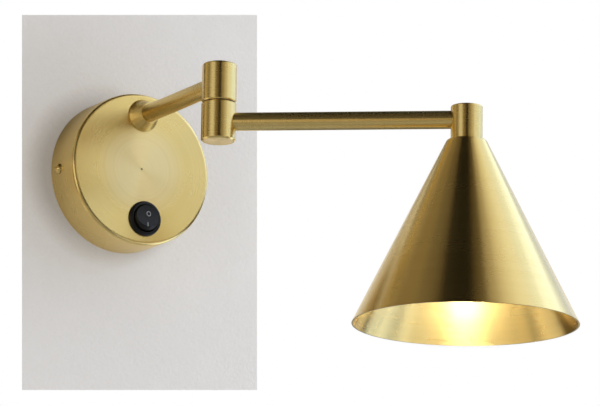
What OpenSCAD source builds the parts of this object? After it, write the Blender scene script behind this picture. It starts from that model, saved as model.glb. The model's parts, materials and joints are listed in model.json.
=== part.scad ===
// Swing-arm wall lamp: round canopy with a rocker switch, a turned elbow and a spun cone shade.
// Millimetres. The origin is the centre of the canopy's back, on the wall.
// -Y points out into the room and +Z up. At rest the second arm swings out to the right.

/* [Wall canopy] */
// Diameter of the canopy
canopy_d = 100; // [90:1:120]
// Distance from the wall to the canopy's face
canopy_depth = 30; // [29:1:40]
// Sheet thickness of the canopy
canopy_wall = 1.2; // [0.8:0.1:1.6]
// Radius of the canopy's front edge
canopy_edge_r = 2.4; // [1.7:0.1:4]
// Diameter of the lathe's centre mark in the canopy's face
centre_mark_d = 1.4; // [0.8:0.1:2]

/* [Wall bracket] */
// The bracket's centre line below the canopy's centre
bracket_drop = 2.5; // [0:0.5:4]
// Width of the strap
strap_w = 20; // [16:1:22]
// Sheet thickness of the strap
strap_t = 2; // [1.5:0.1:2.5]
// Width of the two ears
ear_w = 14; // [10:1:16]
// Distance between the two wall screw slots
slot_spacing = 66; // [60:1:68]
// Length of a wall screw slot
slot_l = 12; // [8:1:13]
// Width of a wall screw slot
slot_w = 5; // [4:0.1:6]
// Diameter of the cable hole in the strap
cable_hole_d = 11; // [8:0.5:12]
// The cable hole to the left of the strap's middle
cable_hole_x = 15; // [8:0.5:18]
// Height of the cover screws above the wall
cover_screw_out = 10; // [8:0.5:13]
// Thread diameter of the cover screws
cover_screw_d = 4; // [3:0.5:5]
// Head diameter of the cover screws
cover_head_d = 7.2; // [6:0.1:8]
// Head height of the cover screws
cover_head_h = 2.8; // [2:0.1:3.2]

/* [Switch] */
// Switch centre to the right of the canopy's centre
switch_x = 3; // [-4:0.5:4]
// From the canopy's edge in to the switch's centre
switch_inset = 17.5; // [16:0.5:18]
// Diameter of the switch's bezel
bezel_d = 23; // [22.5:0.5:25]
// Height of the bezel above the canopy's face
bezel_h = 2.2; // [1.8:0.1:3]
// Diameter of the cut-out that the switch clips into
cutout_d = 20.2; // [19.8:0.1:20.8]
// Diameter of the rocker
rocker_d = 17.2; // [16:0.1:17.4]
// Tilt of the rocker between on and off, in degrees
rocker_tilt = 24; // [16:1:28]
// Depth of the switch behind the canopy's face
switch_depth = 13; // [12:0.5:15]

/* [Arms] */
// Outer diameter of both arm tubes
arm_d = 11.5; // [11:0.1:12.5]
// Wall of both arm tubes
arm_wall = 0.75; // [0.6:0.05:1]
// From the canopy's edge in to the first arm's axis
arm_inset = 14.5; // [14:0.5:16]
// Distance from the canopy's face to the elbow's axis
elbow_reach = 98; // [70:1:160]
// Distance from the elbow's axis to the shade's axis
second_arm_l = 155; // [110:1:220]
// Height of the first arm above the second
arm_drop = 24.6; // [24:0.2:30]
// Angle between the second arm and the wall at rest, in degrees
rest_angle = 37; // [0:1:90]
// Diameter of the collar at the canopy
collar_d = 21; // [19:0.5:22]
// Diameter of the collar at its front
collar_front_d = 13; // [13:0.1:15]
// Length of the collar
collar_l = 9.5; // [6:0.5:16]

/* [Elbow] */
// Diameter of both knuckles
knuckle_d = 22; // [21.6:0.2:26]
// Distance from each arm's axis to its knuckle's end
knuckle_end = 12.5; // [11:0.5:18]
// Wall of the knuckles beside the cavity
knuckle_wall = 2.4; // [1.8:0.1:2.5]
// Thickness of the knuckles' webs at the seam
web_t = 3.5; // [3.2:0.1:4]
// Chamfer at the knuckles' ends
end_chamfer = 0.9; // [0.3:0.1:1.1]
// Chamfer at the seam
seam_chamfer = 0.7; // [0.2:0.1:0.7]
// Thickness of the washer in the seam
seam_washer_t = 0.5; // [0.3:0.1:1]
// Diameter of the hollow pivot bolt
pivot_d = 10; // [9.4:0.1:10.4]
// Bore of the pivot bolt and of both nipples
wire_bore_d = 6.8; // [5.6:0.1:7]
// Diameter of the stop pin
stop_pin_d = 2.5; // [2:0.1:2.6]
// Travel of the swivel, in degrees
swivel_travel = 180; // [120:1:200]

/* [Head] */
// Diameter of the head barrel
head_d = 20; // [18:0.5:23]
// Height of the head barrel above the second arm's axis
head_rise = 8.5; // [7.5:0.1:16]
// Depth of the head barrel below the second arm's axis
head_drop = 13.1; // [12.5:0.1:20]
// Edge radius at the head barrel's top
head_edge_r = 0.8; // [0.3:0.1:1.5]

/* [Shade] */
// Diameter of the shade's rim
shade_d = 140; // [120:1:200]
// Diameter of the shade's top
shade_top_d = 24.6; // [24:0.2:40]
// Height of the shade
shade_h = 116.3; // [112:0.1:160]
// Sheet thickness of the shade
shade_wall = 0.9; // [0.6:0.1:1.2]
// Radius of the shade's shoulder
shade_shoulder_r = 2.5; // [1.5:0.1:4]

/* [Lampholder and bulb] */
// Outer diameter of the lampholder's body
holder_d = 25.2; // [24:0.2:27]
// Length of the lampholder below its cap's neck
holder_l = 34; // [32:1:38]
// Thread diameter of the bulb's cap
bulb_cap_d = 13.9; // [13.5:0.1:14]
// Diameter of the bulb's globe
globe_d = 45; // [38:1:46]
// Diameter of the bulb's neck
bulb_neck_d = 16.8; // [16:0.1:17.4]
// Length of the bulb, contact and globe included
bulb_l = 76; // [74:0.5:80]
// Thickness of the bulb's glass
glass_t = 0.8; // [0.5:0.1:1]

/* [Wiring] */
// Diameter of the sheathed flex in the arms
flex_d = 4.4; // [3.6:0.1:4.6]
// Diameter of a single insulated lead
lead_d = 2.1; // [1.6:0.1:2.2]

/* [Hidden] */
$fn = 96;

// Clearances: a fixed fit, a running fit, a loose hole and a moulded part's gap
fit_gap = 0.05;
run_gap = 0.05;
loose_gap = 0.15;
clear_gap = 0.3;
// Overshoot of a cutting tool past the face that it cuts
over = 1;

// Canopy
canopy_r = canopy_d / 2;
canopy_ri = canopy_r - canopy_wall;
canopy_inner_out = canopy_depth - canopy_wall;

// Bracket, in the canopy's width (x), height (z) and distance from the wall (out)
bracket_z = -bracket_drop;
ear_x = sqrt(pow(canopy_ri - 0.4, 2) - pow(bracket_drop + ear_w / 2, 2));
ear_l = cover_screw_out + 6;
tab_w = 30;
tab_h = 16;
strap_top = bracket_z + strap_w / 2;
strap_bottom = bracket_z - strap_w / 2;
earth_x = slot_spacing / 2 - slot_l / 2 - 7;
earth_screw_d = 4;

// Terminal block on the bracket's tab
pole_pitch = 10;
poles = [-1, 0, 1];
block_h = 14;
block_base = 8.5;
chimney_h = 3;
block_z = strap_top + 1 + block_h / 2;
block_top = block_z + block_h / 2;
clamp_out = strap_t + 4.5;
clamp_l = 12;
clamp_r = 2.4;
clamp_top = block_z + clamp_l / 2;
clamp_screw_rise = 3.4;

// Switch
switch_z = switch_inset - canopy_r;
neck_r = cutout_d / 2 - 0.1;
neck_wall = 0.8;
opening_r = neck_r - neck_wall;
ball_r = opening_r - clear_gap;
pivot_out = canopy_depth + 0.6;
trunnion_r = 1;
trunnion_l = 0.6;
switch_back = canopy_depth - switch_depth;
spade_rise = 4.5;
spade_l = 7;
spade_w = 4.8;
spade_t = 0.8;
boot_l = 9;
boot_end = switch_back - 1 - boot_l;

// First arm and what clamps it to the canopy
first_arm_z = canopy_r - arm_inset;
arm_r = arm_d / 2;
arm_bore_r = arm_r - arm_wall;
nipple_r = arm_bore_r - fit_gap;
wire_bore_r = wire_bore_d / 2;
elbow_out = canopy_depth + elbow_reach;
nut_flat_ratio = 2.8;
lock_washer_t = 1;
tag_t = 0.8;
nut_h = 3;
lock_washer_out = canopy_inner_out - lock_washer_t;
tag_out = lock_washer_out - tag_t;
arm_nut_out = tag_out - nut_h;
nipple_tail = arm_nut_out - 2.5;
nipple_grip = 8;

// Elbow: heights along the swivel's axis
second_arm_z = first_arm_z - arm_drop;
seam_z = (first_arm_z + second_arm_z) / 2;
knuckle_r = knuckle_d / 2;
cavity_r = knuckle_r - knuckle_wall;
upper_top = first_arm_z + knuckle_end;
upper_bottom = seam_z + seam_washer_t / 2;
lower_top = seam_z - seam_washer_t / 2 - run_gap;
lower_bottom = second_arm_z - knuckle_end;
cap_t = 2.2;
cap_r = knuckle_r - end_chamfer - 0.5;
pivot_r = pivot_d / 2;
bolt_head_r = pivot_r + 2.4;
bolt_head_h = 2;
bolt_head_z = upper_bottom + web_t;
spring_washer_t = 0.6;
pivot_washer_t = 0.8;
pivot_nut_h = 2.5;
spring_washer_z = lower_top - web_t - run_gap - spring_washer_t;
pivot_washer_z = spring_washer_z - pivot_washer_t;
pivot_nut_z = pivot_washer_z - pivot_nut_h;
bolt_end_z = pivot_nut_z - 0.35;
stop_r = pivot_r + 2.6;
stop_angle = 90;
stop_pin_r = stop_pin_d / 2;
stop_depth = 2.4;
slot_from = stop_angle - rest_angle;
slot_to = slot_from + swivel_travel;

// Head
head_r = head_d / 2;
head_top = second_arm_z + head_rise;
head_bottom = second_arm_z - head_drop;
head_bore_top = second_arm_z + 3;
shade_r = shade_d / 2;
shade_top_r = shade_top_d / 2;
shade_slope = atan((shade_r - shade_top_r) / shade_h);
shade_washer_t = 0.8;
shade_washer_z = head_bottom - shade_wall - shade_washer_t;
shade_nut_z = shade_washer_z - nut_h;
head_nipple_top = second_arm_z - 7.4;

// Lampholder and bulb, downwards from the shade's nut
holder_r = holder_d / 2;
holder_neck_h = 6;
holder_dome_h = 4;
holder_skirt_h = 9;
holder_wall = 1.4;
holder_neck_r = pivot_r + 2.2;
neck_bottom = shade_nut_z - holder_neck_h;
holder_top = neck_bottom - 6.5;
holder_bottom = neck_bottom - holder_l;
holder_mouth_r = 9.4;
insert_t = 4.5;
insert_bottom = holder_top - insert_t;
shell_t = 0.4;
shell_r = bulb_cap_d / 2 + 0.15;
contact_t = 0.5;
bulb_top = insert_bottom - contact_t;
bulb_bottom = bulb_top - bulb_l;
globe_r = globe_d / 2;
globe_z = bulb_bottom + globe_r;
bulb_neck_r = bulb_neck_d / 2;
fillet_r = 14;
fillet_z = globe_z + sqrt(pow(globe_r + fillet_r, 2) - pow(bulb_neck_r + fillet_r, 2));
tip_h = 1;
insulator_h = 2.5;
thread_top = bulb_top - tip_h - insulator_h;
bulb_cap_r = bulb_cap_d / 2;
bulb_cap_wall = 0.3;
flare_z = fillet_z + 6;
shell_bottom = flare_z + 0.4;

// Wiring
flex_r = flex_d / 2;
lead_r = lead_d / 2;
core_offset = lead_r + 0.12;
flex_end_out = nipple_tail - 2;
upper_bend = 6;
lower_bend = arm_drop / 2 - 6.8;
flex_sag = 1.5;
flex_tail_z = holder_top + 2;
arm_tag_turn = -35;
arm_tag_reach = 11;
screw_tag_turn = 60;
screw_tag_reach = 6.5;
tag_crimp_l = 5;
tag_crimp_r = lead_r + 0.4;
// Routes of the single leads: out from the wall, low at the switch, and to either side of the block
route_out = 9;
route_low = 2.8;
route_x = 21;
route_bend = 3;

brass = "#c8b26e";
steel = "#b8bcc0";
black = "#1c1c1e";

function arc(c, r, a, b, n) = [for (i = [0:n]) c + r * [cos(a + (b - a) * i / n), sin(a + (b - a) * i / n)]];
function reversed(list) = [for (i = [len(list) - 1:-1:0]) list[i]];

// Smooth curve through hand-placed points
function spline_point(a, b, c, d, t) =
  (2 * b + (c - a) * t + (2 * a - 5 * b + 4 * c - d) * t * t + (3 * b - a - 3 * c + d) * t * t * t) / 2;
function spline(p, steps) = concat(
  [for (i = [0:len(p) - 2], s = [0:steps - 1])
    spline_point(p[max(i - 1, 0)], p[i], p[i + 1], p[min(i + 2, len(p) - 1)], s / steps)],
  [p[len(p) - 1]]
);

// Frames carried along a path without twist
function unit(v) = v / norm(v);
function tangents(p) = [for (i = [0:len(p) - 1]) unit(p[min(i + 1, len(p) - 1)] - p[max(i - 1, 0)])];
function squared(n, t) = unit(n - (n * t) * t);
function normals(t, first, i = 0, done = []) =
  i == len(t) ? done : normals(t, first, i + 1, concat(done, [squared(i == 0 ? first : done[i - 1], t[i])]));

// A round tube or cord swept along a path; its ends are square to the two directions in ends
module swept(path, r, ends, sides = 8, first = [0.3, 0.2, 1]) {
  along = tangents(path);
  t = [for (i = [0:len(path) - 1]) i == 0 ? ends[0] : i == len(path) - 1 ? ends[1] : along[i]];
  n = normals(t, first);
  rings = len(path);
  points = [for (i = [0:rings - 1], k = [0:sides - 1])
    path[i] + r * (cos(360 * k / sides) * n[i] + sin(360 * k / sides) * cross(t[i], n[i]))];
  skin = [for (i = [0:rings - 2], k = [0:sides - 1], half = [0, 1])
    let (a = i * sides + k, b = i * sides + (k + 1) % sides)
    half == 0 ? [a, b + sides, b] : [a, a + sides, b + sides]];
  caps = [for (k = [1:sides - 2]) each [[0, k, k + 1],
    [(rings - 1) * sides, (rings - 1) * sides + k + 1, (rings - 1) * sides + k]]];
  polyhedron(points, concat(skin, caps));
}

// A lead through hand-placed points, straight where it starts and ends
module lead(points) {
  last = len(points) - 1;
  swept(spline(points, 4), lead_r, [unit(points[1] - points[0]), unit(points[last] - points[last - 1])]);
}

// Places children with x across, y up and z as the distance from the wall
module from_wall(x = 0, z = 0, out = 0) {
  translate([x, -out, z]) rotate([90, 0, 0]) children();
}

// Places children on the elbow's axis, x along the second arm
module arm_frame(along = 0) {
  translate([0, -elbow_out, 0]) rotate([0, 0, -rest_angle]) translate([along, 0, 0]) children();
}

module ring(r, bore_r, h) {
  difference() {
    cylinder(r = r, h = h);
    translate([0, 0, -over]) cylinder(r = bore_r, h = h + 2 * over);
  }
}

module hex_nut(thread_r, h) {
  difference() {
    cylinder(d = nut_flat_ratio * thread_r / cos(30), h = h, $fn = 6);
    translate([0, 0, -over]) cylinder(r = thread_r + fit_gap, h = h + 2 * over);
  }
}

// Half section of a round cup, its closed end and rounded edge at height h
module cup_section(r, h, edge) {
  square([r - edge, h]);
  square([r, h - edge]);
  intersection() {
    translate([r - edge, h - edge]) circle(edge, $fn = 48);
    square([r, h]);
  }
}

module slot_2d(l, w) {
  square([l - w, w], center = true);
  for (side = [-1, 1]) translate([side * (l - w) / 2, 0]) circle(d = w, $fn = 48);
}

// Screw with a domed, slotted head: the seat is at z = 0, the thread points down
module dome_screw(thread_d, thread_l, head_d, head_h, slot = 0.9) {
  dome_r = (pow(head_d / 2, 2) + pow(head_h, 2)) / (2 * head_h);
  translate([0, 0, -thread_l]) cylinder(d = thread_d, h = thread_l);
  difference() {
    intersection() {
      translate([0, 0, head_h - dome_r]) sphere(dome_r);
      cylinder(d = head_d, h = head_h + over);
    }
    translate([-head_d, -slot / 2, head_h * 0.5]) cube([2 * head_d, slot, head_h]);
  }
}

module canopy() {
  color(brass) difference() {
    from_wall() rotate_extrude() difference() {
      cup_section(canopy_r, canopy_depth, canopy_edge_r);
      cup_section(canopy_ri, canopy_inner_out, max(canopy_edge_r - canopy_wall, 0.4));
    }
    from_wall(0, first_arm_z) cylinder(r = nipple_r + loose_gap, h = canopy_depth + over);
    from_wall(switch_x, switch_z) cylinder(d = cutout_d, h = canopy_depth + over);
    from_wall(0, 0, canopy_depth - centre_mark_d / 3)
      cylinder(d1 = centre_mark_d / 4, d2 = centre_mark_d, h = centre_mark_d / 3);
    translate([-canopy_d, -cover_screw_out, bracket_z]) rotate([0, 90, 0])
      cylinder(d = cover_screw_d + 2 * loose_gap, h = 2 * canopy_d);
  }
}

// The heads seat on the canopy's round wall, and the threads reach through the ears
module cover_screws() {
  seat_x = canopy_r + 0.02;
  color(brass) for (side = [-1, 1])
    translate([side * seat_x, -cover_screw_out, bracket_z]) rotate([0, side * 90, 0]) rotate(90)
      dome_screw(cover_screw_d, seat_x - ear_x + strap_t + 2, cover_head_d, cover_head_h);
}

module ear_section() {
  difference() {
    translate([0, ear_l]) mirror([0, 1]) cup_section(ear_x, ear_l, strap_t + 1);
    translate([0, ear_l + over]) mirror([0, 1]) cup_section(ear_x - strap_t, ear_l + over - strap_t, 1);
  }
}

module wall_bracket() {
  color(steel) difference() {
    union() {
      from_wall(0, bracket_z) linear_extrude(strap_t) intersection() {
        square([2 * ear_x - 6 * strap_t, strap_w], center = true);
        translate([0, bracket_drop]) circle(canopy_ri - 0.4);
      }
      for (side = [0, 1]) mirror([side, 0, 0])
        translate([0, 0, bracket_z - ear_w / 2]) linear_extrude(ear_w) mirror([0, 1]) ear_section();
      from_wall(-tab_w / 2, strap_top - over) cube([tab_w, tab_h + over, strap_t]);
    }
    from_wall(0, bracket_z, -over) linear_extrude(strap_t + 2 * over)
      for (side = [-1, 1]) translate([side * slot_spacing / 2, 0]) slot_2d(slot_l, slot_w);
    from_wall(-cable_hole_x, bracket_z, -over) cylinder(d = cable_hole_d, h = strap_t + 2 * over);
    from_wall(earth_x, bracket_z, -over)
      cylinder(d = earth_screw_d + 2 * fit_gap, h = strap_t + 2 * over);
    for (side = [-1, 1]) from_wall(side * pole_pitch / 2, block_z, -over)
      cylinder(r = 1.25 + fit_gap, h = strap_t + 2 * over);
    translate([-canopy_d, -cover_screw_out, bracket_z]) rotate([0, 90, 0])
      cylinder(d = cover_screw_d + 2 * fit_gap, h = 2 * canopy_d);
  }
}

module earth_screw() {
  color(steel) from_wall(earth_x, bracket_z, strap_t + tag_t) rotate(40)
    dome_screw(earth_screw_d, strap_t + tag_t - 0.2, 8, 2.4, 1);
}

// Ring tag with a crimp barrel: the ring lies on z = 0 and the barrel points along +x
module ring_tag(r, bore_r, reach) {
  difference() {
    union() {
      cylinder(r = r, h = tag_t);
      translate([0, -1.5, 0]) cube([reach, 3, tag_t]);
    }
    translate([0, 0, -over]) cylinder(r = bore_r, h = tag_t + 2 * over);
  }
  translate([reach, 0, tag_crimp_r]) rotate([0, 90, 0]) cylinder(r = tag_crimp_r, h = tag_crimp_l);
}

module earth_tags() {
  color("#c9a23a") {
    from_wall(0, first_arm_z, tag_out) rotate(arm_tag_turn) translate([0, 0, tag_t])
      rotate([180, 0, 0]) ring_tag(8.5, nipple_r + loose_gap, arm_tag_reach);
    from_wall(earth_x, bracket_z, strap_t) rotate(screw_tag_turn)
      ring_tag(4.2, earth_screw_d / 2 + loose_gap, screw_tag_reach);
  }
}

module terminal_block() {
  color("#e8e6de") difference() {
    from_wall(0, block_z, strap_t) {
      translate([-1.5 * pole_pitch, -block_h / 2, 0]) cube([3 * pole_pitch, block_h, block_base]);
      for (p = poles, side = [-1, 1])
        translate([p * pole_pitch, side * clamp_screw_rise, 0]) cylinder(r = 2.8, h = block_base + chimney_h);
    }
    for (p = poles) translate([p * pole_pitch, -clamp_out, block_z - block_h / 2 - over])
      cylinder(r = clamp_r + fit_gap, h = block_h + 2 * over);
    for (p = poles, side = [-1, 1])
      from_wall(p * pole_pitch, block_z + side * clamp_screw_rise, clamp_out) cylinder(r = 1.9, h = block_h);
    for (side = [-1, 1]) from_wall(side * pole_pitch / 2, block_z, 0) cylinder(r = 1.4, h = 2 * block_base);
  }
}

module terminal_clamps() {
  color("#c9a23a") for (p = poles) difference() {
    translate([p * pole_pitch, -clamp_out, block_z - clamp_l / 2]) ring(clamp_r, lead_r + 0.3, clamp_l);
    for (side = [-1, 1]) from_wall(p * pole_pitch, block_z + side * clamp_screw_rise, clamp_out + 0.5)
      cylinder(r = 1.5 + fit_gap, h = clamp_r + over);
  }
}

module terminal_screws() {
  tip_out = clamp_out + lead_r + 0.3;
  color(steel) for (p = poles, side = [-1, 1])
    from_wall(p * pole_pitch, block_z + side * clamp_screw_rise, tip_out) difference() {
      cylinder(r = 1.5, h = strap_t + block_base + chimney_h - tip_out - 0.8);
      translate([-2, -0.3, strap_t + block_base + chimney_h - tip_out - 1.6]) cube([4, 0.6, 2]);
    }
}

module block_screws() {
  color(steel) for (side = [-1, 1]) from_wall(side * pole_pitch / 2, block_z, strap_t + block_base)
    dome_screw(2.5, block_base + strap_t - 0.3, 4.2, 1.5, 0.7);
}

// The bezel's neck passes the cut-out, and two wings snap open behind the sheet
module switch_housing() {
  wing_rise = 0.9;
  color(black) from_wall(switch_x, switch_z) difference() {
    union() {
      translate([0, 0, switch_back]) cylinder(r = neck_r, h = switch_depth);
      translate([0, 0, canopy_depth]) rotate_extrude() cup_section(bezel_d / 2, bezel_h, bezel_h * 0.75);
      for (side = [0, 180]) rotate(side) translate([0, 3, 0]) rotate([90, 0, 0]) linear_extrude(6)
        polygon([[neck_r - 0.5, canopy_inner_out - 0.2], [neck_r + wing_rise, canopy_inner_out - 0.2],
          [neck_r + wing_rise, canopy_inner_out - 1.4], [neck_r - 0.5, canopy_inner_out - 8]]);
    }
    translate([0, 0, switch_back + 1.6]) cylinder(r = opening_r, h = canopy_depth);
    translate([-neck_r - over, 0, pivot_out]) rotate([0, 90, 0])
      cylinder(r = trunnion_r + run_gap, h = 2 * (neck_r + over));
  }
}

module switch_terminals() {
  color("#c9a23a") for (side = [-1, 1])
    from_wall(switch_x, switch_z + side * spade_rise, switch_back - spade_l) difference() {
      translate([-spade_w / 2, -spade_t / 2, 0]) cube([spade_w, spade_t, spade_l]);
      translate([0, over, 2.2]) rotate([90, 0, 0]) cylinder(r = 0.8, h = 2 * over);
    }
}

module terminal_boots() {
  color("#7d2f2a") for (side = [-1, 1])
    from_wall(switch_x, switch_z + side * spade_rise, boot_end) difference() {
      linear_extrude(boot_l) slot_2d(spade_w + 3.2, 4);
      translate([-spade_w / 2 - 0.1, -spade_t / 2 - 0.1, boot_l - spade_l + 1 - 0.2])
        cube([spade_w + 0.2, spade_t + 0.2, spade_l]);
    }
}

// Round rocker: a ball round its pivot, trimmed to a drum, with a hollowed face
module switch_rocker() {
  hollow_r = 28;
  face_out = 3.8;
  color(black) from_wall(switch_x, switch_z, pivot_out) rotate([-rocker_tilt / 2, 0, 0]) {
    difference() {
      intersection() {
        sphere(ball_r);
        translate([0, 0, -2.5]) cylinder(d = rocker_d, h = ball_r + 2.5);
      }
      translate([-ball_r, 0, face_out + hollow_r]) rotate([0, 90, 0])
        cylinder(r = hollow_r, h = 2 * ball_r, $fn = 180);
    }
    translate([-opening_r - trunnion_l, 0, 0]) rotate([0, 90, 0])
      cylinder(r = trunnion_r, h = 2 * (opening_r + trunnion_l));
    translate([0, 0, -6]) cylinder(r = 2, h = 4);
  }
}

module arm_collar() {
  color(brass) from_wall(0, first_arm_z, canopy_depth) difference() {
    union() {
      cylinder(d = collar_d, h = 0.8);
      translate([0, 0, 0.8]) cylinder(d1 = collar_d, d2 = collar_front_d, h = collar_l - 0.8);
    }
    translate([0, 0, -over]) cylinder(r = arm_r + fit_gap, h = collar_l + 2 * over);
  }
}

module arm_nipple() {
  color(steel) from_wall(0, first_arm_z, nipple_tail)
    ring(nipple_r, wire_bore_r, canopy_depth + nipple_grip - nipple_tail);
}

// External teeth bite the canopy's sheet
module lock_washer() {
  teeth = 12;
  color(steel) from_wall(0, first_arm_z, lock_washer_out) difference() {
    cylinder(r = 9, h = lock_washer_t);
    translate([0, 0, -over]) cylinder(r = nipple_r + loose_gap, h = lock_washer_t + 2 * over);
    for (i = [0:teeth - 1]) rotate(i * 360 / teeth) translate([9, 0, -over])
      cylinder(r = 1.2, h = lock_washer_t + 2 * over, $fn = 24);
  }
}

module arm_nut() {
  color(steel) from_wall(0, first_arm_z, arm_nut_out) hex_nut(nipple_r, nut_h);
}

// Tube coped to sit on the knuckle's round side
module first_arm() {
  color(brass) difference() {
    from_wall(0, first_arm_z, canopy_depth) ring(arm_r, arm_bore_r, elbow_reach);
    translate([0, -elbow_out, first_arm_z - arm_d]) cylinder(r = knuckle_r + fit_gap, h = 2 * arm_d);
  }
}

module second_arm() {
  color(brass) arm_frame() difference() {
    translate([0, 0, second_arm_z]) rotate([0, 90, 0]) ring(arm_r, arm_bore_r, second_arm_l);
    translate([0, 0, second_arm_z - arm_d]) cylinder(r = knuckle_r + fit_gap, h = 2 * arm_d);
    translate([second_arm_l, 0, second_arm_z - arm_d]) cylinder(r = head_r + fit_gap, h = 2 * arm_d);
  }
}

// Turned knuckle: web at z = 0, open end with the cap's seat at z = h, wire hole at arm_at
module knuckle(h, arm_at) {
  difference() {
    rotate_extrude() polygon([[0, 0], [knuckle_r - seam_chamfer, 0], [knuckle_r, seam_chamfer],
      [knuckle_r, h - end_chamfer], [knuckle_r - end_chamfer, h], [0, h]]);
    translate([0, 0, web_t]) cylinder(r = cavity_r, h = h);
    translate([0, 0, h - cap_t]) cylinder(r = cap_r + fit_gap, h = cap_t + over);
    translate([0, 0, -over]) cylinder(r = pivot_r + run_gap, h = web_t + 2 * over);
    translate([0, 0, arm_at]) rotate([0, 90, 0]) cylinder(r = arm_bore_r - 0.5, h = knuckle_r + over);
  }
}

module upper_knuckle() {
  color(brass) difference() {
    translate([0, -elbow_out, upper_bottom]) rotate(90)
      knuckle(upper_top - upper_bottom, first_arm_z - upper_bottom);
    stop_hole();
  }
}

// Blind hole that the stop pin is pressed into
module stop_hole() {
  translate([0, -elbow_out, upper_bottom]) rotate(stop_angle) translate([stop_r, 0, -over])
    cylinder(r = stop_pin_r + 0.02, h = web_t - 0.5 + over);
}

// The arc slot in the lower web lets the stop pin travel between the swivel's limits
module lower_knuckle() {
  groove_r = stop_pin_r + loose_gap;
  color(brass) difference() {
    arm_frame() translate([0, 0, lower_top]) mirror([0, 0, 1])
      knuckle(lower_top - lower_bottom, lower_top - second_arm_z);
    translate([0, -elbow_out, lower_top - stop_depth]) {
      rotate(slot_from) rotate_extrude(angle = swivel_travel) translate([stop_r - groove_r, 0])
        square([2 * groove_r, stop_depth + over]);
      for (a = [slot_from, slot_to]) rotate(a) translate([stop_r, 0, 0])
        cylinder(r = groove_r, h = stop_depth + over);
    }
  }
}

module knuckle_cap() {
  rotate_extrude() polygon([[0, 0], [cap_r, 0], [cap_r, cap_t - 0.2], [cap_r - 0.2, cap_t], [0, cap_t]]);
}

module upper_knuckle_cap() {
  color(brass) translate([0, -elbow_out, upper_top - cap_t]) knuckle_cap();
}

module lower_knuckle_cap() {
  color(brass) translate([0, -elbow_out, lower_bottom + cap_t]) mirror([0, 0, 1]) knuckle_cap();
}

module pivot_bolt() {
  color(steel) translate([0, -elbow_out, bolt_end_z]) difference() {
    union() {
      cylinder(r = pivot_r, h = bolt_head_z + bolt_head_h - bolt_end_z);
      translate([0, 0, bolt_head_z - bolt_end_z]) cylinder(r = bolt_head_r, h = bolt_head_h);
    }
    translate([0, 0, -over]) cylinder(r = wire_bore_r, h = 60);
  }
}

module seam_washer() {
  color(black) translate([0, -elbow_out, seam_z - seam_washer_t / 2]) difference() {
    ring(knuckle_r - seam_chamfer - 0.3, pivot_r + loose_gap, seam_washer_t);
    rotate(stop_angle) translate([stop_r, 0, -over]) cylinder(r = stop_pin_r + 0.1, h = 3 * over);
  }
}

module stop_pin() {
  pin_bottom = lower_top - stop_depth + 0.3;
  color(steel) translate([0, -elbow_out, pin_bottom]) rotate(stop_angle) translate([stop_r, 0, 0])
    cylinder(r = stop_pin_r, h = upper_bottom + web_t - 0.6 - pin_bottom);
}

module elbow_ring(z, r, h) {
  translate([0, -elbow_out, z]) ring(r, pivot_r + fit_gap, h);
}

module spring_washer() {
  color(steel) elbow_ring(spring_washer_z, pivot_r + 2.6, spring_washer_t);
}

module pivot_washer() {
  color(steel) elbow_ring(pivot_washer_z, pivot_r + 3, pivot_washer_t);
}

module pivot_nut() {
  color(steel) translate([0, -elbow_out, pivot_nut_z]) hex_nut(pivot_r, pivot_nut_h);
}

// Drilled up from below for the nipple and across for the flex
module head_barrel() {
  color(brass) arm_frame(second_arm_l) difference() {
    translate([0, 0, head_bottom]) rotate_extrude() cup_section(head_r, head_top - head_bottom, head_edge_r);
    translate([0, 0, head_bottom - over])
      cylinder(r = pivot_r + fit_gap, h = head_bore_top - head_bottom + over);
    translate([-head_r - over, 0, second_arm_z]) rotate([0, 90, 0])
      cylinder(r = arm_bore_r - 0.9, h = head_r + over);
  }
}

module head_nipple() {
  bottom = neck_bottom + 0.8;
  color(steel) arm_frame(second_arm_l) translate([0, 0, bottom])
    ring(pivot_r, wire_bore_r, head_nipple_top - bottom);
}

// Spun cone: flat top, rounded shoulder, straight side and a plain cut rim
module shade() {
  turn = 90 - shade_slope;
  shoulder = [shade_top_r - shade_shoulder_r * tan(turn / 2), -shade_shoulder_r];
  inner_r = shade_shoulder_r - shade_wall;
  hole_r = pivot_r + loose_gap;
  outer = concat(arc(shoulder, shade_shoulder_r, 90, shade_slope, 8), [[shade_r, -shade_h]]);
  rim_inside = [shade_r - shade_wall / cos(shade_slope), -shade_h];
  inner = concat([rim_inside], arc(shoulder, inner_r, shade_slope, 90, 8));
  color(brass) arm_frame(second_arm_l) translate([0, 0, head_bottom]) rotate_extrude($fn = 180)
    polygon(concat([[hole_r, 0]], outer, inner, [[hole_r, -shade_wall]]));
}

module shade_washer() {
  color(steel) arm_frame(second_arm_l) translate([0, 0, shade_washer_z])
    ring(8.6, pivot_r + loose_gap, shade_washer_t);
}

module shade_nut() {
  color(steel) arm_frame(second_arm_l) translate([0, 0, shade_nut_z]) hex_nut(pivot_r, nut_h);
}

// Domed cap: screws on the nipple and takes the body's thread in its skirt
module lampholder_cap() {
  cap_r_out = holder_r + holder_wall;
  dome_z = neck_bottom - holder_dome_h;
  skirt_z = dome_z - holder_skirt_h;
  color(black) arm_frame(second_arm_l) rotate_extrude() polygon([
    [pivot_r + fit_gap, shade_nut_z], [holder_neck_r, shade_nut_z], [holder_neck_r, neck_bottom],
    [cap_r_out - 1.5, dome_z + 0.8], [cap_r_out, dome_z - 0.8], [cap_r_out, skirt_z],
    [holder_r + fit_gap, skirt_z], [holder_r + fit_gap, dome_z - 1.2], [cap_r_out - 2.9, dome_z - 0.6],
    [holder_neck_r - 0.8, neck_bottom - holder_wall], [pivot_r + fit_gap, neck_bottom - holder_wall]]);
}

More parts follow.
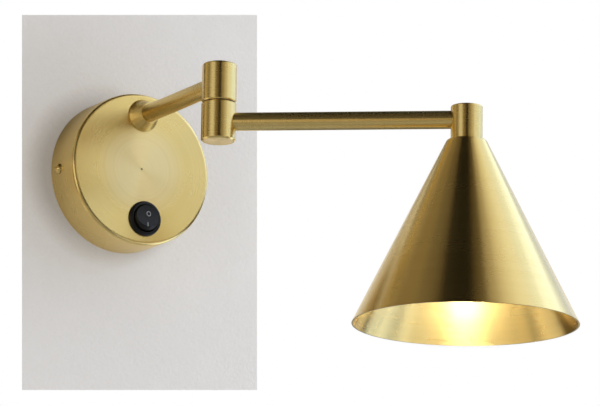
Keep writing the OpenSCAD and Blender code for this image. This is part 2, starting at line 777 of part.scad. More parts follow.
module lampholder_body() {
  inner = holder_r - holder_wall;
  color(black) arm_frame(second_arm_l) rotate_extrude() polygon([
    [inner, holder_top], [holder_r, holder_top], [holder_r, holder_bottom + 1], [holder_r - 1, holder_bottom],
    [holder_mouth_r, holder_bottom], [holder_mouth_r, holder_bottom + 1.5], [inner, holder_bottom + 1.5]]);
}

// Ceramic disc that carries the contacts and the lead screws
module lampholder_insert() {
  color("#e9e4d8") arm_frame(second_arm_l) difference() {
    translate([0, 0, insert_bottom]) cylinder(r = holder_r - holder_wall - fit_gap, h = insert_t);
    for (side = [-1, 1]) translate([0, side * 6.5, insert_bottom + 1.5])
      cylinder(r = 1.5 + fit_gap, h = insert_t);
  }
}

module insert_screws() {
  color(steel) arm_frame(second_arm_l) for (side = [-1, 1])
    translate([0, side * 6.5, insert_bottom + insert_t]) dome_screw(3, insert_t - 2, 4.6, 1.6, 0.7);
}

module thread_shell() {
  color("#c9a23a") arm_frame(second_arm_l) translate([0, 0, shell_bottom])
    ring(shell_r + shell_t, shell_r, insert_bottom - shell_bottom);
}

module centre_contact() {
  color("#c9a23a") arm_frame(second_arm_l) translate([0, 0, insert_bottom - contact_t])
    cylinder(r = 3.2, h = contact_t);
}

// Outline of the globe, the fillet above it and the neck, grown or shrunk by d
function bulb_outline(d) = let (
  fillet_c = [bulb_neck_r + fillet_r, fillet_z],
  meet = atan2(fillet_z - globe_z, bulb_neck_r + fillet_r)
) concat(
  arc([0, globe_z], globe_r + d, -90, meet, 16),
  arc(fillet_c, fillet_r - d, 180 + meet, 180, 6),
  [[bulb_neck_r + d, fillet_z + 1]]
);

module bulb_glass() {
  color("#fff4dc") arm_frame(second_arm_l) rotate_extrude()
    polygon(concat(bulb_outline(0), reversed(bulb_outline(-glass_t))));
}

// Nickel cap: thread, flared skirt and the seat for the glass
module bulb_cap() {
  glass_top = fillet_z + 1;
  color(steel) arm_frame(second_arm_l) rotate_extrude() polygon([
    [bulb_cap_r - 1.2, thread_top], [bulb_cap_r - 0.6, thread_top], [bulb_cap_r, thread_top - 0.8],
    [bulb_cap_r, flare_z], [bulb_neck_r, glass_top + 0.6], [bulb_neck_r, glass_top],
    [bulb_neck_r - 1.2, glass_top], [bulb_cap_r - bulb_cap_wall, flare_z],
    [bulb_cap_r - bulb_cap_wall, thread_top - 1]]);
}

module bulb_insulator() {
  color("#20242a") arm_frame(second_arm_l) translate([0, 0, thread_top])
    cylinder(r1 = bulb_cap_r - 0.6, r2 = 3.6, h = insulator_h);
}

module bulb_contact() {
  color(steel) arm_frame(second_arm_l) translate([0, 0, bulb_top - tip_h])
    cylinder(r1 = 3, r2 = 2.2, h = tip_h);
}

// Glass stem that stands on the neck and carries the filament's supports
module bulb_stem() {
  color("#eef3f2") arm_frame(second_arm_l) translate([0, 0, globe_z + 8])
    cylinder(r1 = 2.2, r2 = bulb_neck_r - glass_t - 0.2, h = fillet_z + 1 - globe_z - 8);
}

module bulb_filament() {
  spread = 7;
  color("#8c8f92") arm_frame(second_arm_l) {
    for (side = [-1, 1]) translate([side * 1.2, 0, globe_z + 7.8]) rotate([0, 180 - side * 36, 0])
      cylinder(r = 0.25, h = 8.6);
    translate([-spread, 0, globe_z + 1]) rotate([0, 90, 0]) cylinder(r = 0.5, h = 2 * spread);
  }
}

// From the terminal block, round its left side, to the switch's upper spade
module live_lead() {
  z = switch_z + spade_rise;
  color("#6b4128") lead([
    [-pole_pitch, -clamp_out, clamp_top], [-pole_pitch, -clamp_out, block_top + route_bend],
    [-0.7 * route_x, 1 - route_out, block_top + 5], [-0.95 * route_x, -route_out, block_top - 2],
    [-route_x, -route_out, strap_top], [-0.95 * route_x, 1 - route_out, strap_bottom + 4.5],
    [-0.7 * route_x, -2 * route_low, strap_bottom - 5.5], [-route_x / 3, -route_low, z + 1],
    [switch_x - 2, -route_low, z], [switch_x, 2 - boot_end, z], [switch_x, -boot_end, z]]);
}

// From the end of the arm's flex to the terminal block
module neutral_core() {
  color("#3a62a8") lead([
    [-core_offset, -flex_end_out, first_arm_z], [-core_offset, route_bend - flex_end_out, first_arm_z],
    [-core_offset / 2, -route_out - 2, first_arm_z - 2.5], [0, 2 - route_out, block_top + 5],
    [0, -clamp_out, block_top + 2], [0, -clamp_out, clamp_top]]);
}

// From the end of the arm's flex, round the block's right side, to the switch's lower spade
module switched_core() {
  z = switch_z - spade_rise;
  color("#6b4128") lead([
    [core_offset, -flex_end_out, first_arm_z], [core_offset, route_bend - flex_end_out, first_arm_z],
    [0.3 * route_x, -route_out - 3, first_arm_z - 2], [0.76 * route_x, -route_out - 2, block_top + 4.5],
    [route_x + 1, -route_out - 3, block_z + 0.5], [route_x + 2, -route_out - 3, bracket_z + 2.5],
    [route_x + 1, -route_out, strap_bottom - 3.5], [0.8 * route_x, -2 * route_low, z + 7.5],
    [route_x / 2, -route_low, z + 0.5], [switch_x + 2, -route_low, z], [switch_x, 2 - boot_end, z],
    [switch_x, -boot_end, z]]);
}

// From the tag under the arm's nut to the tag under the bracket's screw
module earth_lead() {
  arm_dir = [cos(arm_tag_turn), 0, sin(arm_tag_turn)];
  screw_dir = [cos(screw_tag_turn), 0, sin(screw_tag_turn)];
  from = [0, tag_crimp_r - tag_out - tag_t, first_arm_z] + (arm_tag_reach + tag_crimp_l) * arm_dir;
  to = [earth_x, -strap_t - tag_crimp_r, bracket_z] + (screw_tag_reach + tag_crimp_l) * screw_dir;
  color("#7a9a3a") lead([
    from, from + route_bend * arm_dir, [route_x + 1, 2 - canopy_inner_out * 0.9, block_top - 2.5],
    [route_x + 9, -canopy_inner_out * 0.6, block_z + 0.5], to + [3, -3, 7],
    to + 0.8 * route_bend * screw_dir, to]);
}

// Straight through the first arm, then down the elbow's axis to the seam
module first_arm_flex() {
  turn = arc([elbow_out - upper_bend, first_arm_z - upper_bend], upper_bend, 90, 0, 8);
  path = concat([[flex_end_out, first_arm_z]], turn, [[elbow_out, seam_z]]);
  color("#2b2b2d") swept([for (p = path) [0, -p[0], p[1]]], flex_r, [[0, -1, 0], [0, 0, -1]], 10);
}

// On from the seam, through the second arm and the head to the lampholder
module second_arm_flex() {
  run_z = second_arm_z - flex_sag;
  path = concat([[0, seam_z]],
    arc([lower_bend, run_z + lower_bend], lower_bend, 180, 270, 8),
    arc([second_arm_l - lower_bend, run_z - lower_bend], lower_bend, 90, 0, 8),
    [[second_arm_l, flex_tail_z]]);
  color("#2b2b2d") arm_frame()
    swept([for (p = path) [p[0], 0, p[1]]], flex_r, [[0, 0, -1], [0, 0, -1]], 10, [0, 1, 0]);
}

wall_bracket();
earth_screw();
earth_tags();
terminal_block();
terminal_clamps();
terminal_screws();
block_screws();
canopy();
cover_screws();
switch_housing();
switch_terminals();
terminal_boots();
switch_rocker();
arm_collar();
arm_nipple();
lock_washer();
arm_nut();
first_arm();
upper_knuckle();
upper_knuckle_cap();
pivot_bolt();
seam_washer();
stop_pin();
spring_washer();
pivot_washer();
pivot_nut();
live_lead();
neutral_core();
switched_core();
earth_lead();
first_arm_flex();
lower_knuckle();
lower_knuckle_cap();
second_arm();
head_barrel();
head_nipple();
shade();
shade_washer();
shade_nut();
lampholder_cap();
lampholder_body();
lampholder_insert();
insert_screws();
thread_shell();
centre_contact();
bulb_glass();
bulb_cap();
bulb_insulator();
bulb_contact();
bulb_stem();
bulb_filament();
second_arm_flex();
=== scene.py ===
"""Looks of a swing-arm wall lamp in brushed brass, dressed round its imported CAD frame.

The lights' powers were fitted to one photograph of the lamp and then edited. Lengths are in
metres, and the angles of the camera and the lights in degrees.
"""
import json
import math

import bmesh
import bpy
from mathutils import Matrix, Vector
from mathutils.bvhtree import BVHTree


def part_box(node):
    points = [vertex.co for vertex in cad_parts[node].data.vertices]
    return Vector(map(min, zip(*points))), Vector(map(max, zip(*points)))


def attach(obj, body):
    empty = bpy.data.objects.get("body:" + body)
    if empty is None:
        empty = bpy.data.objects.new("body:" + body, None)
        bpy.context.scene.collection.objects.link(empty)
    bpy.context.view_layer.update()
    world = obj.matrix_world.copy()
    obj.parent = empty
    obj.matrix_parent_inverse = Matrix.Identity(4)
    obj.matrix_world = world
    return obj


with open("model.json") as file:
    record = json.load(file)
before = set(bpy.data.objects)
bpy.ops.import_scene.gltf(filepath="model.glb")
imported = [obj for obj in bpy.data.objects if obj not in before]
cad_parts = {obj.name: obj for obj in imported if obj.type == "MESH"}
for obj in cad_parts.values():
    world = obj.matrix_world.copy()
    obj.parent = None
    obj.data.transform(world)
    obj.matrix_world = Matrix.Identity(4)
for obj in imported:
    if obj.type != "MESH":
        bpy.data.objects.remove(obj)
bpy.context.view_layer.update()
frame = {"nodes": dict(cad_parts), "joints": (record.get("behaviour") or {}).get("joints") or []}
nodes = frame["nodes"]

UP = Vector((0, 0, 1))
OUT = Vector((0, -1, 0))

# The photograph's camera
PHOTO_WIDE, PHOTO_HIGH = 600, 406
CAMERA_AZ = -31.263
CAMERA_EL = -13.075
CAMERA_ROLL = 0.911
CAMERA_DISTANCE = 2.440785
CAMERA_LOOK = Vector((0.089512, -0.080, -0.019934))
CAMERA_LENS = 226.978
CAMERA_SENSOR = 36


def middle(node):
    """Middle of a node's box, in metres."""
    low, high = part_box(node)
    return (low + high) / 2


def direction(azimuth, elevation):
    """Unit vector towards an azimuth, which is 0 in front of the wall, and an elevation."""
    a, e = math.radians(azimuth), math.radians(elevation)
    return Vector((math.sin(a) * math.cos(e), -math.cos(a) * math.cos(e), math.sin(e)))


# Places taken from the frame
arm_1_axis = middle("arm_collar")
elbow_axis = middle("seam_washer")
head_axis = middle("head_barrel")
arm_2_axis = middle("second_arm")
arm_2_run = Vector((head_axis.x - elbow_axis.x, head_axis.y - elbow_axis.y, 0)).normalized()


class Graph:
    """One node material, with short calls for the nodes that it is built from."""

    def __init__(self, name):
        self.material = bpy.data.materials.new(name)
        self.material.use_nodes = True
        self.tree = self.material.node_tree
        self.shader = self.tree.nodes["Principled BSDF"]
        self.output = self.tree.nodes["Material Output"]

    def add(self, kind, **settings):
        made = self.tree.nodes.new(kind)
        for key, value in settings.items():
            setattr(made, key, value)
        return made

    def put(self, socket, value):
        if isinstance(value, bpy.types.NodeSocket):
            self.tree.links.new(value, socket)
        elif isinstance(value, Vector):
            socket.default_value = value[:]
        else:
            socket.default_value = value

    def set(self, **values):
        """Shader sockets by name, with underscores for spaces."""
        for key, value in values.items():
            self.put(self.shader.inputs[key.replace("_", " ")], value)

    def math(self, operation, a, b=0.0, c=0.0):
        made = self.add("ShaderNodeMath", operation=operation)
        for socket, value in zip(made.inputs, (a, b, c)):
            self.put(socket, value)
        return made.outputs[0]

    def vector(self, operation, a, b=Vector((0, 0, 0)), scale=None):
        made = self.add("ShaderNodeVectorMath", operation=operation)
        self.put(made.inputs[0], a)
        self.put(made.inputs[1], b)
        if scale is not None:
            self.put(made.inputs["Scale"], scale)
        return made.outputs["Value" if operation in ("DOT_PRODUCT", "LENGTH") else "Vector"]

    def place(self):
        """The point in the frame, at rest."""
        return self.add("ShaderNodeTexCoord").outputs["Object"]

    def noise(self, vector, scale, detail=2.0, roughness=0.5, w=None):
        made = self.add("ShaderNodeTexNoise", noise_dimensions="3D" if w is None else "4D")
        self.put(made.inputs["Vector"], vector)
        self.put(made.inputs["Scale"], scale)
        self.put(made.inputs["Detail"], detail)
        self.put(made.inputs["Roughness"], roughness)
        if w is not None:
            self.put(made.inputs["W"], w)
        return made.outputs[0]

    def spread(self, value, low, high, to_low, to_high):
        made = self.add("ShaderNodeMapRange", clamp=True)
        for socket, v in zip(made.inputs, (value, low, high, to_low, to_high)):
            self.put(socket, v)
        return made.outputs[0]

    def mix(self, factor, a, b):
        made = self.add("ShaderNodeMix", data_type="RGBA")
        self.put(made.inputs[0], factor)
        self.put(made.inputs[6], a)
        self.put(made.inputs[7], b)
        return made.outputs[2]

    def bump(self, height, distance, strength=1.0):
        made = self.add("ShaderNodeBump")
        self.put(made.inputs["Strength"], strength)
        self.put(made.inputs["Distance"], distance)
        self.put(made.inputs["Height"], height)
        return made.outputs[0]

    def turned(self, centre, axis):
        """Distances along and from an axis, the outward direction, and the tangent round it."""
        point = self.vector("SUBTRACT", self.place(), centre)
        along = self.vector("DOT_PRODUCT", point, axis)
        out = self.vector("SUBTRACT", point, self.vector("SCALE", axis, scale=along))
        radius = self.vector("LENGTH", out)
        unit = self.vector("NORMALIZE", out)
        round_it = self.vector("CROSS_PRODUCT", axis, unit)
        return along, radius, unit, round_it

    def distance(self, centre):
        """Distance from a point of the rest pose."""
        return self.vector("LENGTH", self.vector("SUBTRACT", self.place(), centre))

    def tangent(self, vector):
        """A direction of the rest pose as a shading tangent."""
        turn = self.add("ShaderNodeVectorTransform", vector_type="VECTOR",
                        convert_from="OBJECT", convert_to="WORLD")
        self.put(turn.inputs[0], vector)
        return turn.outputs[0]


BRASS = (0.86, 0.65, 0.26, 1)
BRASS_DEEP = (0.78, 0.57, 0.205, 1)
BRASS_PALE = (0.95, 0.80, 0.50, 1)
BRUSH_FINE, BRUSH_COARSE = 950.0, 400.0
BRUSH_ANISOTROPY, BRUSH_QUARTER_TURN = 0.82, 0.25

# Marks of the lathe on the canopy's face, and painted shade in the dent at its centre
PAD_RADIUS = 0.0205
PAD_EDGE = (PAD_RADIUS - 0.001, PAD_RADIUS + 0.012)
PAD_RINGS = ((PAD_RADIUS, 0.0006, 0.3), (PAD_RADIUS * 1.35, 0.0008, 0.25))
# Painted shade in the lathe's centre dent: the radii it fades between and its dark colour
CENTRE_SHADE_FADE = (0.0004, 0.0009)
CENTRE_DENT_SHADE = (0.16, 0.1, 0.03, 1)


def brass(name, centre, axis, lathe_marks_and_dent_shade=False):
    """Brass brushed round an axis, as on a lathe, under clear satin lacquer."""
    g = Graph(name)
    run, radius, unit, round_it = g.turned(centre, axis)
    section = g.math("ADD", run, radius)
    fine = g.noise(g.vector("SCALE", unit, scale=0.15), 1.0, 1.0, 0.5,
                   g.math("MULTIPLY", section, BRUSH_FINE))
    coarse = g.noise(g.vector("SCALE", unit, scale=0.1), 1.0, 1.0, 0.5,
                     g.math("MULTIPLY", section, BRUSH_COARSE))
    cloud = g.noise(g.place(), 22.0, 2.0, 0.5)
    tone = g.math("ADD", g.math("MULTIPLY", fine, 0.4), g.math("MULTIPLY", coarse, 0.6))
    colour = g.mix(g.spread(tone, 0.3, 0.7, 0.2, 1.0), BRASS_DEEP, BRASS)
    colour = g.mix(g.spread(cloud, 0.35, 0.7, 0.0, 0.3), colour, BRASS)
    roughness = g.math("ADD", g.spread(tone, 0.25, 0.75, 0.26, 0.27),
                       g.spread(cloud, 0.3, 0.7, 0.0, 0.015))
    if lathe_marks_and_dent_shade:
        # A paler middle under the lathe's pad and two rings, then painted shade in the centre dent
        pad = g.spread(radius, *PAD_EDGE, 1.0, 0.0)
        colour = g.mix(g.math("MULTIPLY", pad, 0.4), colour, BRASS_PALE)
        roughness = g.math("ADD", roughness, g.math("MULTIPLY", pad, 0.03))
        for ring, wide, dark in PAD_RINGS:
            away = g.math("ABSOLUTE", g.math("SUBTRACT", radius, ring))
            colour = g.mix(g.spread(away, 0.0, wide, dark, 0.0), colour, BRASS_DEEP)
        # Painted shade: the centre dent is darkened in colour
        colour = g.mix(g.spread(radius, *CENTRE_SHADE_FADE, 0.8, 0.0), colour, CENTRE_DENT_SHADE)
    g.set(
        Base_Color=colour,
        Metallic=1.0,
        Roughness=roughness,
        Anisotropic=BRUSH_ANISOTROPY,
        Anisotropic_Rotation=BRUSH_QUARTER_TURN,
        Tangent=g.tangent(round_it),
    )
    return g.material


def plain_metal(name, colour, roughness):
    """Plated or bare metal with faint stains in colour and gloss."""
    g = Graph(name)
    stain = g.noise(g.place(), 180.0, 4.0, 0.6)
    grain = g.noise(g.place(), 2200.0, 2.0, 0.5)
    dark = tuple(c * 0.88 for c in colour) + (1,)
    g.set(
        Base_Color=g.mix(g.spread(stain, 0.35, 0.65, 0.0, 1.0), dark, tuple(colour) + (1,)),
        Metallic=1.0,
        Roughness=g.spread(stain, 0.3, 0.7, roughness - 0.05, roughness + 0.07),
        Normal=g.bump(grain, 0.00002, 0.5),
    )
    return g.material


def plastic(name, colour, roughness, shine=0.5):
    """Moulded plastic, rubber or glaze with a fine grain."""
    g = Graph(name)
    grain = g.noise(g.place(), 900.0, 3.0, 0.6)
    cloud = g.noise(g.place(), 60.0, 2.0, 0.5)
    light = tuple(min(1, c * 1.12 + 0.004) for c in colour) + (1,)
    g.set(
        Base_Color=g.mix(g.spread(cloud, 0.35, 0.65, 0.0, 1.0), tuple(colour) + (1,), light),
        Roughness=g.spread(grain, 0.3, 0.7, roughness - 0.04, roughness + 0.05),
        Specular_IOR_Level=shine,
        Normal=g.bump(grain, 0.00001, 0.6),
    )
    return g.material


def glass(name, colour, roughness, transmission, emission=None):
    """Glass or opal glass with a faint frost, and a glow of its own where emission is given."""
    g = Graph(name)
    frost = g.noise(g.place(), 400.0, 3.0, 0.5)
    g.set(
        Base_Color=colour,
        Roughness=g.spread(frost, 0.3, 0.7, roughness, roughness + 0.04),
        Transmission_Weight=transmission,
        IOR=1.5,
    )
    if emission:
        g.set(Emission_Color=emission[0], Emission_Strength=emission[1])
    return g.material


def dress(material, *names):
    for name in names:
        nodes[name].material_slots[0].material = material


dress(brass("brass_canopy", Vector((0, 0, 0)), OUT, True), "canopy", "cover_screws")
dress(brass("brass_first_arm", arm_1_axis, OUT), "arm_collar", "first_arm")
dress(brass("brass_elbow", elbow_axis, UP),
      "upper_knuckle", "upper_knuckle_cap", "lower_knuckle", "lower_knuckle_cap")
dress(brass("brass_second_arm", arm_2_axis, arm_2_run), "second_arm")
dress(brass("brass_head", head_axis, UP), "head_barrel", "shade")

dress(plain_metal("zinc_steel_look", (0.62, 0.63, 0.64), 0.32), "wall_bracket", "earth_screw",
      "terminal_screws", "block_screws", "arm_nipple", "lock_washer", "arm_nut", "pivot_bolt",
      "stop_pin", "spring_washer", "pivot_washer", "pivot_nut", "head_nipple", "shade_washer",
      "shade_nut", "insert_screws", "bulb_filament")
dress(plain_metal("contact_brass_look", (0.72, 0.52, 0.22), 0.28), "terminal_clamps",
      "switch_terminals", "thread_shell", "centre_contact", "earth_tags")
dress(plain_metal("nickel_look", (0.70, 0.68, 0.64), 0.2), "bulb_cap", "bulb_contact")
dress(plastic("black_switch", (0.007, 0.006, 0.0055), 0.42, shine=0.3),
      "switch_housing", "switch_rocker")
dress(plastic("holder_look", (0.02, 0.02, 0.02), 0.45), "lampholder_cap", "lampholder_body")
dress(plastic("block_look", (0.72, 0.71, 0.66), 0.4), "terminal_block")
dress(plastic("nylon_look", (0.05, 0.035, 0.02), 0.5), "seam_washer")
dress(plastic("boot_look", (0.42, 0.05, 0.04), 0.4), "terminal_boots")
dress(plastic("brown_look", (0.12, 0.045, 0.02), 0.38), "live_lead", "switched_core")
dress(plastic("blue_look", (0.03, 0.11, 0.42), 0.38), "neutral_core")
dress(plastic("sheath_look", (0.02, 0.02, 0.02), 0.45), "first_arm_flex", "second_arm_flex")
dress(plastic("ceramic_look", (0.80, 0.78, 0.70), 0.22), "lampholder_insert")
dress(plastic("vitrite_look", (0.02, 0.02, 0.03), 0.12), "bulb_insulator")
dress(glass("opal_glass_look", (1, 0.93, 0.82, 1), 0.3, 0.0, ((1, 0.87, 0.56, 1), 4.2)),
      "bulb_glass")
dress(glass("clear_glass_look", (0.95, 0.98, 0.98, 1), 0.02, 1.0), "bulb_stem")


def earth_stripes():
    """Green insulation with a yellow stripe that runs along the lead."""
    g = Graph("earth_look")
    band = g.math("SINE", g.vector("DOT_PRODUCT", g.place(), Vector((1500, 0, 900))))
    g.set(
        Base_Color=g.mix(g.spread(band, -0.1, 0.1, 0.0, 1.0),
                         (0.05, 0.22, 0.03, 1), (0.75, 0.6, 0.04, 1)),
        Roughness=g.spread(g.noise(g.place(), 900.0, 3.0), 0.3, 0.7, 0.34, 0.42),
    )
    return g.material


dress(earth_stripes(), "earth_lead")


def grid_piece(name, rows, closed, material, body):
    """A ribbon of quads through rows of points."""
    mesh = bmesh.new()
    made = [[mesh.verts.new(p) for p in row] for row in rows]
    count = len(made)
    for i in range(count if closed else count - 1):
        a, b = made[i], made[(i + 1) % count]
        for j in range(len(a) - 1):
            mesh.faces.new((a[j], b[j], b[j + 1], a[j + 1]))
    bmesh.ops.recalc_face_normals(mesh, faces=mesh.faces)
    data = bpy.data.meshes.new(name)
    mesh.to_mesh(data)
    mesh.free()
    for face in data.polygons:
        face.use_smooth = True
    piece = bpy.data.objects.new(name, data)
    bpy.context.scene.collection.objects.link(piece)
    data.materials.append(material)
    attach(piece, body)


# Marks on the rocker: O at the top and I at the bottom, printed on the hollowed face
rocker_joint = next(j for j in frame["joints"] if j["name"] == "switch_rock")
rocker_pivot = Vector(rocker_joint["pos_m"])
rocker_lean = math.radians(-rocker_joint["range_deg"][1] / 2)
rocker_turn = Matrix.Rotation(-rocker_lean, 3, "X")
rocker_out = rocker_turn @ OUT
rocker_up = rocker_turn @ UP
rocker_tree = BVHTree.FromPolygons(
    [v.co.copy() for v in nodes["switch_rocker"].data.vertices],
    [tuple(p.vertices) for p in nodes["switch_rocker"].data.polygons])
MARK_TURN = math.radians(13)
MARK_LIFT = 0.0001
RING_MIDDLE, RING_RADII, RING_POINTS = 0.0034, (0.00115, 0.0013, 0.00145, 0.0016), 48
BAR_FOOT, BAR_LONG, BAR_WIDE, BAR_STEPS = -0.0052, 0.0030, 0.00055, 8


def on_rocker(x, z):
    """The point just above the rocker's face at x across and z up from its middle, on turned axes."""
    across = x * math.cos(MARK_TURN) + z * math.sin(MARK_TURN)
    height = z * math.cos(MARK_TURN) - x * math.sin(MARK_TURN)
    start = rocker_pivot + Vector((across, 0, 0)) + rocker_up * height + rocker_out * 0.02
    hit = rocker_tree.ray_cast(start, -rocker_out)[0]
    return hit + rocker_out * MARK_LIFT


def mark_outline(points, width):
    """Rows across a line of (x, z) points, each as wide as a printed stroke."""
    rows = []
    count = len(points)
    for i, p in enumerate(points):
        a, b = Vector(points[max(i - 1, 0)]), Vector(points[min(i + 1, count - 1)])
        t = (b - a).normalized()
        n = Vector((-t.y, t.x))
        rows.append([on_rocker(*(Vector(p) + n * width * s)) for s in (-0.5, -0.25, 0, 0.25, 0.5)])
    return rows


grey_ink = plastic("grey_ink", (0.55, 0.55, 0.54), 0.5)
ring_angles = [2 * math.pi * i / RING_POINTS for i in range(RING_POINTS)]
grid_piece("mark_off", [
    [on_rocker(r * math.cos(a), RING_MIDDLE + r * math.sin(a)) for r in RING_RADII]
    for a in ring_angles
], True, grey_ink, "rocker")
bar = [(0, BAR_FOOT + BAR_LONG * i / BAR_STEPS) for i in range(BAR_STEPS + 1)]
grid_piece("mark_on", mark_outline(bar, BAR_WIDE), False, grey_ink, "rocker")


# Studio: a pale board behind the canopy, a pale floor far below, and soft lights
def camera_axes():
    """Unit vectors to the picture's right, to its top and back towards the camera."""
    back = direction(CAMERA_AZ, CAMERA_EL)
    right = UP.cross(back).normalized()
    up = back.cross(right)
    roll = math.radians(CAMERA_ROLL)
    return (right * math.cos(roll) + up * math.sin(roll),
            -right * math.sin(roll) + up * math.cos(roll), back)


right, up, back = camera_axes()
camera = bpy.data.cameras.new("camera")
camera.lens = CAMERA_LENS
camera.sensor_width = CAMERA_SENSOR
camera.clip_end = 50
camera_object = bpy.data.objects.new("camera", camera)
bpy.context.scene.collection.objects.link(camera_object)
turn = Matrix((right, up, back)).transposed()
camera_object.matrix_world = Matrix.Translation(CAMERA_LOOK + back * CAMERA_DISTANCE) @ turn.to_4x4()
bpy.context.scene.camera = camera_object


def wall_point(px, py, y):
    """Where the photograph's ray through a point of its frame meets the plane at y."""
    ray = (right * (px - PHOTO_WIDE / 2) - up * (py - PHOTO_HIGH / 2)
           - back * (CAMERA_LENS * PHOTO_WIDE / CAMERA_SENSOR))
    eye = CAMERA_LOOK + back * CAMERA_DISTANCE
    return eye + ray * ((y - eye.y) / ray.y)


# Painted shades on the board, each with the two distances from its middle that it fades between
SOFT_SHADE, SOFT_FADE = (0.3, 0.27, 0.25, 1), (0.03, 0.17)
RIM_SHADE, RIM_FADE = (0.16, 0.14, 0.12, 1), (0.046, 0.062)
RIM_MIDDLE = Vector((-0.009, 0, 0))
DIM_MIRROR_MIDDLE, DIM_MIRROR_FADE = Vector((-0.012, 0, 0.024)), (0.032, 0.048)


def one_sided(name, colour, cloud_scale, depth, glow, mirrored=1.0, shade_at=None):
    """Matt stage surface, seen from its front only, that glows to the camera and in reflections.

    The board is given shade_at, the middle of its soft shade, and then has its other shades too.
    """
    g = Graph(name)
    cloud = g.noise(g.place(), cloud_scale, 4.0, 0.6)
    grain = g.noise(g.place(), cloud_scale * 28, 3.0, 0.6)
    dim = tuple(c * 0.96 for c in colour) + (1,)
    tone = g.mix(g.spread(cloud, 0.3, 0.7, 0.0, 1.0), dim, tuple(colour) + (1,))
    tone = g.mix(g.spread(grain, 0.3, 0.7, 0.06, 0.0), tone, (0.5, 0.48, 0.46, 1))
    if shade_at:
        soft = g.spread(g.distance(shade_at), *SOFT_FADE, 0.22, 0.0)
        tone = g.mix(soft, tone, SOFT_SHADE)
        rim = g.spread(g.distance(RIM_MIDDLE), *RIM_FADE, 0.4, 0.0)
        tone = g.mix(rim, tone, RIM_SHADE)
        # The photograph's canopy is darker up on its left, so the board is mirrored darker there
        mirrored = g.spread(g.distance(DIM_MIRROR_MIDDLE), *DIM_MIRROR_FADE, 0.1, mirrored)
    g.set(Base_Color=tone, Roughness=0.85, Specular_IOR_Level=0.2, Normal=g.bump(grain, depth, 0.8))
    path = g.add("ShaderNodeLightPath")
    bounced = g.math("MAXIMUM", path.outputs["Is Glossy Ray"], path.outputs["Is Transmission Ray"])
    looked = g.math("MAXIMUM", path.outputs["Is Camera Ray"], g.math("MULTIPLY", bounced, mirrored))
    g.set(Emission_Color=tone, Emission_Strength=g.math("MULTIPLY", looked, glow))
    clear = g.add("ShaderNodeBsdfTransparent")
    both = g.add("ShaderNodeMixShader")
    g.put(both.inputs[0], g.add("ShaderNodeNewGeometry").outputs["Backfacing"])
    g.put(both.inputs[1], g.shader.outputs[0])
    g.put(both.inputs[2], clear.outputs[0])
    g.put(g.output.inputs["Surface"], both.outputs[0])
    return g.material


def stage_plane(name, corners, material):
    """A flat four-cornered piece of the stage."""
    data = bpy.data.meshes.new(name)
    data.from_pydata([c[:] for c in corners], [], [(0, 1, 2, 3)])
    plane = bpy.data.objects.new(name, data)
    bpy.context.scene.collection.objects.link(plane)
    data.materials.append(material)


# The board's corners and the middle of its soft shade are points of the photograph's frame
BOARD_Y = 0.0004
BOARD_CORNERS = ((22, 390), (257, 390), (257, 15), (22, 15))
BOARD_SHADE = (40, 150)
stage_plane("wall_board", [wall_point(x, y, BOARD_Y) for x, y in BOARD_CORNERS],
            one_sided("board_look", (0.97, 0.93, 0.89), 14.0, 0.0006, 0.32,
                      shade_at=wall_point(*BOARD_SHADE, BOARD_Y)))

FLOOR_Z = -1.8
FLOOR_HALF = 4
stage_plane("floor", [Vector((x * FLOOR_HALF, y * FLOOR_HALF, FLOOR_Z))
                      for x, y in ((-1, -1), (1, -1), (1, 1), (-1, 1))],
            one_sided("floor_look", (0.88, 0.88, 0.87), 3.0, 0.0001, 0.75, mirrored=0.08))

# World: white to the camera. In reflections it is white only round the way that the photograph's
# camera looks, between two cosines of the angle from it, and dark elsewhere.
WHITE_FROM, WHITE_FULL = 0.85, 1.0
STUDIO_COLOUR, STUDIO_STRENGTH = (1, 0.93, 0.8, 1), 0.01
world = bpy.data.worlds.new("world")
bpy.context.scene.world = world
world.use_nodes = True
wt = world.node_tree
wt.nodes.clear()


def world_node(kind, **settings):
    made = wt.nodes.new(kind)
    for key, value in settings.items():
        setattr(made, key, value)
    return made


sky_output = world_node("ShaderNodeOutputWorld")
white = world_node("ShaderNodeBackground")
white.inputs[0].default_value = (1, 1, 1, 1)
studio = world_node("ShaderNodeBackground")
studio.inputs[0].default_value = STUDIO_COLOUR
studio.inputs[1].default_value = STUDIO_STRENGTH
ahead = world_node("ShaderNodeVectorMath", operation="DOT_PRODUCT")
ahead.inputs[1].default_value = (-back)[:]
wt.links.new(world_node("ShaderNodeTexCoord").outputs["Generated"], ahead.inputs[0])
reach = world_node("ShaderNodeMapRange", interpolation_type="SMOOTHSTEP")
reach.inputs["From Min"].default_value = WHITE_FROM
reach.inputs["From Max"].default_value = WHITE_FULL
wt.links.new(ahead.outputs["Value"], reach.inputs["Value"])
path = world_node("ShaderNodeLightPath")
sharp = world_node("ShaderNodeMath", operation="MAXIMUM")
wt.links.new(path.outputs["Is Glossy Ray"], sharp.inputs[0])
wt.links.new(path.outputs["Is Transmission Ray"], sharp.inputs[1])
seen = world_node("ShaderNodeMath", operation="MULTIPLY")
wt.links.new(sharp.outputs[0], seen.inputs[0])
wt.links.new(reach.outputs[0], seen.inputs[1])
factor = world_node("ShaderNodeMath", operation="MAXIMUM")
wt.links.new(path.outputs["Is Camera Ray"], factor.inputs[0])
wt.links.new(seen.outputs[0], factor.inputs[1])
blend = world_node("ShaderNodeMixShader")
wt.links.new(factor.outputs[0], blend.inputs[0])
wt.links.new(studio.outputs[0], blend.inputs[1])
wt.links.new(white.outputs[0], blend.inputs[2])
wt.links.new(blend.outputs[0], sky_output.inputs[0])

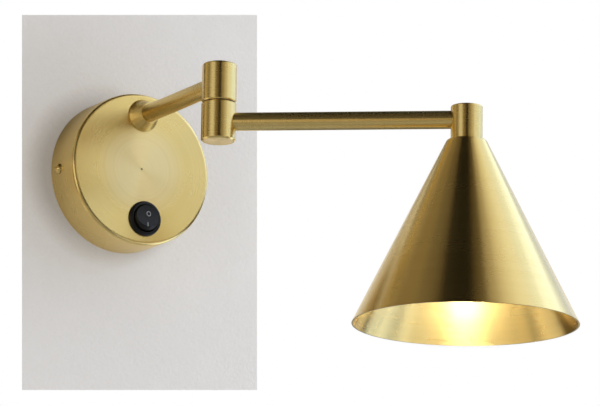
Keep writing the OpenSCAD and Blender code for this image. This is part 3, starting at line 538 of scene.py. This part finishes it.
# Round softboxes on a sphere about the lamp, by rise. Each is turned from the camera's azimuth, and
# has a power in watts and a tint.
AMBER = (1, 0.76, 0.38)
WARM = (1, 0.87, 0.6)
PLAIN = (1, 0.96, 0.86)
COOL = (0.86, 0.93, 1)
BLUE = (0.58, 0.72, 1)
SOFTBOXES = {
    48: ((-135, 1.2, PLAIN), (-100, 0.5, AMBER), (-60, 0.45, AMBER), (40, 0.36, AMBER),
         (60, 1.5, PLAIN), (80, 1.6, COOL), (100, 1.45, BLUE), (120, 2.5, BLUE), (140, 2.7, BLUE)),
    22: ((-90, 1.2, WARM), (-50, 1.5, PLAIN), (30, 1.4, WARM), (50, 1.2, COOL), (70, 2.1, COOL),
         (90, 3.5, BLUE), (110, 4.3, BLUE), (135, 3.9, BLUE)),
    -5: ((150, 2.5, PLAIN), (-100, 1.7, AMBER), (-60, 0.6, AMBER), (-40, 3.3, COOL),
         (-20, 1.5, AMBER), (60, 2.0, COOL)),
    -35: ((-120, 2.7, PLAIN), (-90, 0.9, WARM), (-60, 1.4, WARM), (0, 0.9, PLAIN), (60, 2.1, COOL),
          (90, 2.9, BLUE), (120, 7.2, BLUE)),
}
SOFTBOX_AWAY = 1.8
SOFTBOX_WIDE = 1.2
LAMP_MIDDLE = Vector((0.07, -0.13, -0.02))
softboxes = [(rise, *box) for rise, row in SOFTBOXES.items() for box in row]
for i, (rise, turned, power, tint) in enumerate(softboxes):
    light = bpy.data.lights.new("softbox_%d" % i, "AREA")
    light.shape = "DISK"
    light.size = SOFTBOX_WIDE
    light.energy = power
    light.color = tint
    holder = bpy.data.objects.new(light.name, light)
    bpy.context.scene.collection.objects.link(holder)
    towards = direction(CAMERA_AZ + turned, rise)
    holder.location = LAMP_MIDDLE + towards * SOFTBOX_AWAY
    holder.rotation_mode = "QUATERNION"
    holder.rotation_quaternion = (-towards).to_track_quat("-Z", "Y")
    holder.visible_camera = False

# The bulb's own light, from the middle of its opal globe
core = bpy.data.lights.new("bulb_light", "POINT")
core.energy = 3.3
core.color = (1, 0.93, 0.78)
core.shadow_soft_size = 0.007
core_holder = bpy.data.objects.new("bulb_light", core)
bpy.context.scene.collection.objects.link(core_holder)
globe_low, globe_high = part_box("bulb_glass")
core_holder.location = (head_axis.x, head_axis.y, globe_low.z + (globe_high.x - globe_low.x) / 2)
core_holder.visible_camera = False
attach(core_holder, "swing_arm")
for name in ("bulb_glass", "bulb_stem", "bulb_filament"):
    nodes[name].visible_shadow = False

bpy.context.scene.view_settings.view_transform = "Standard"
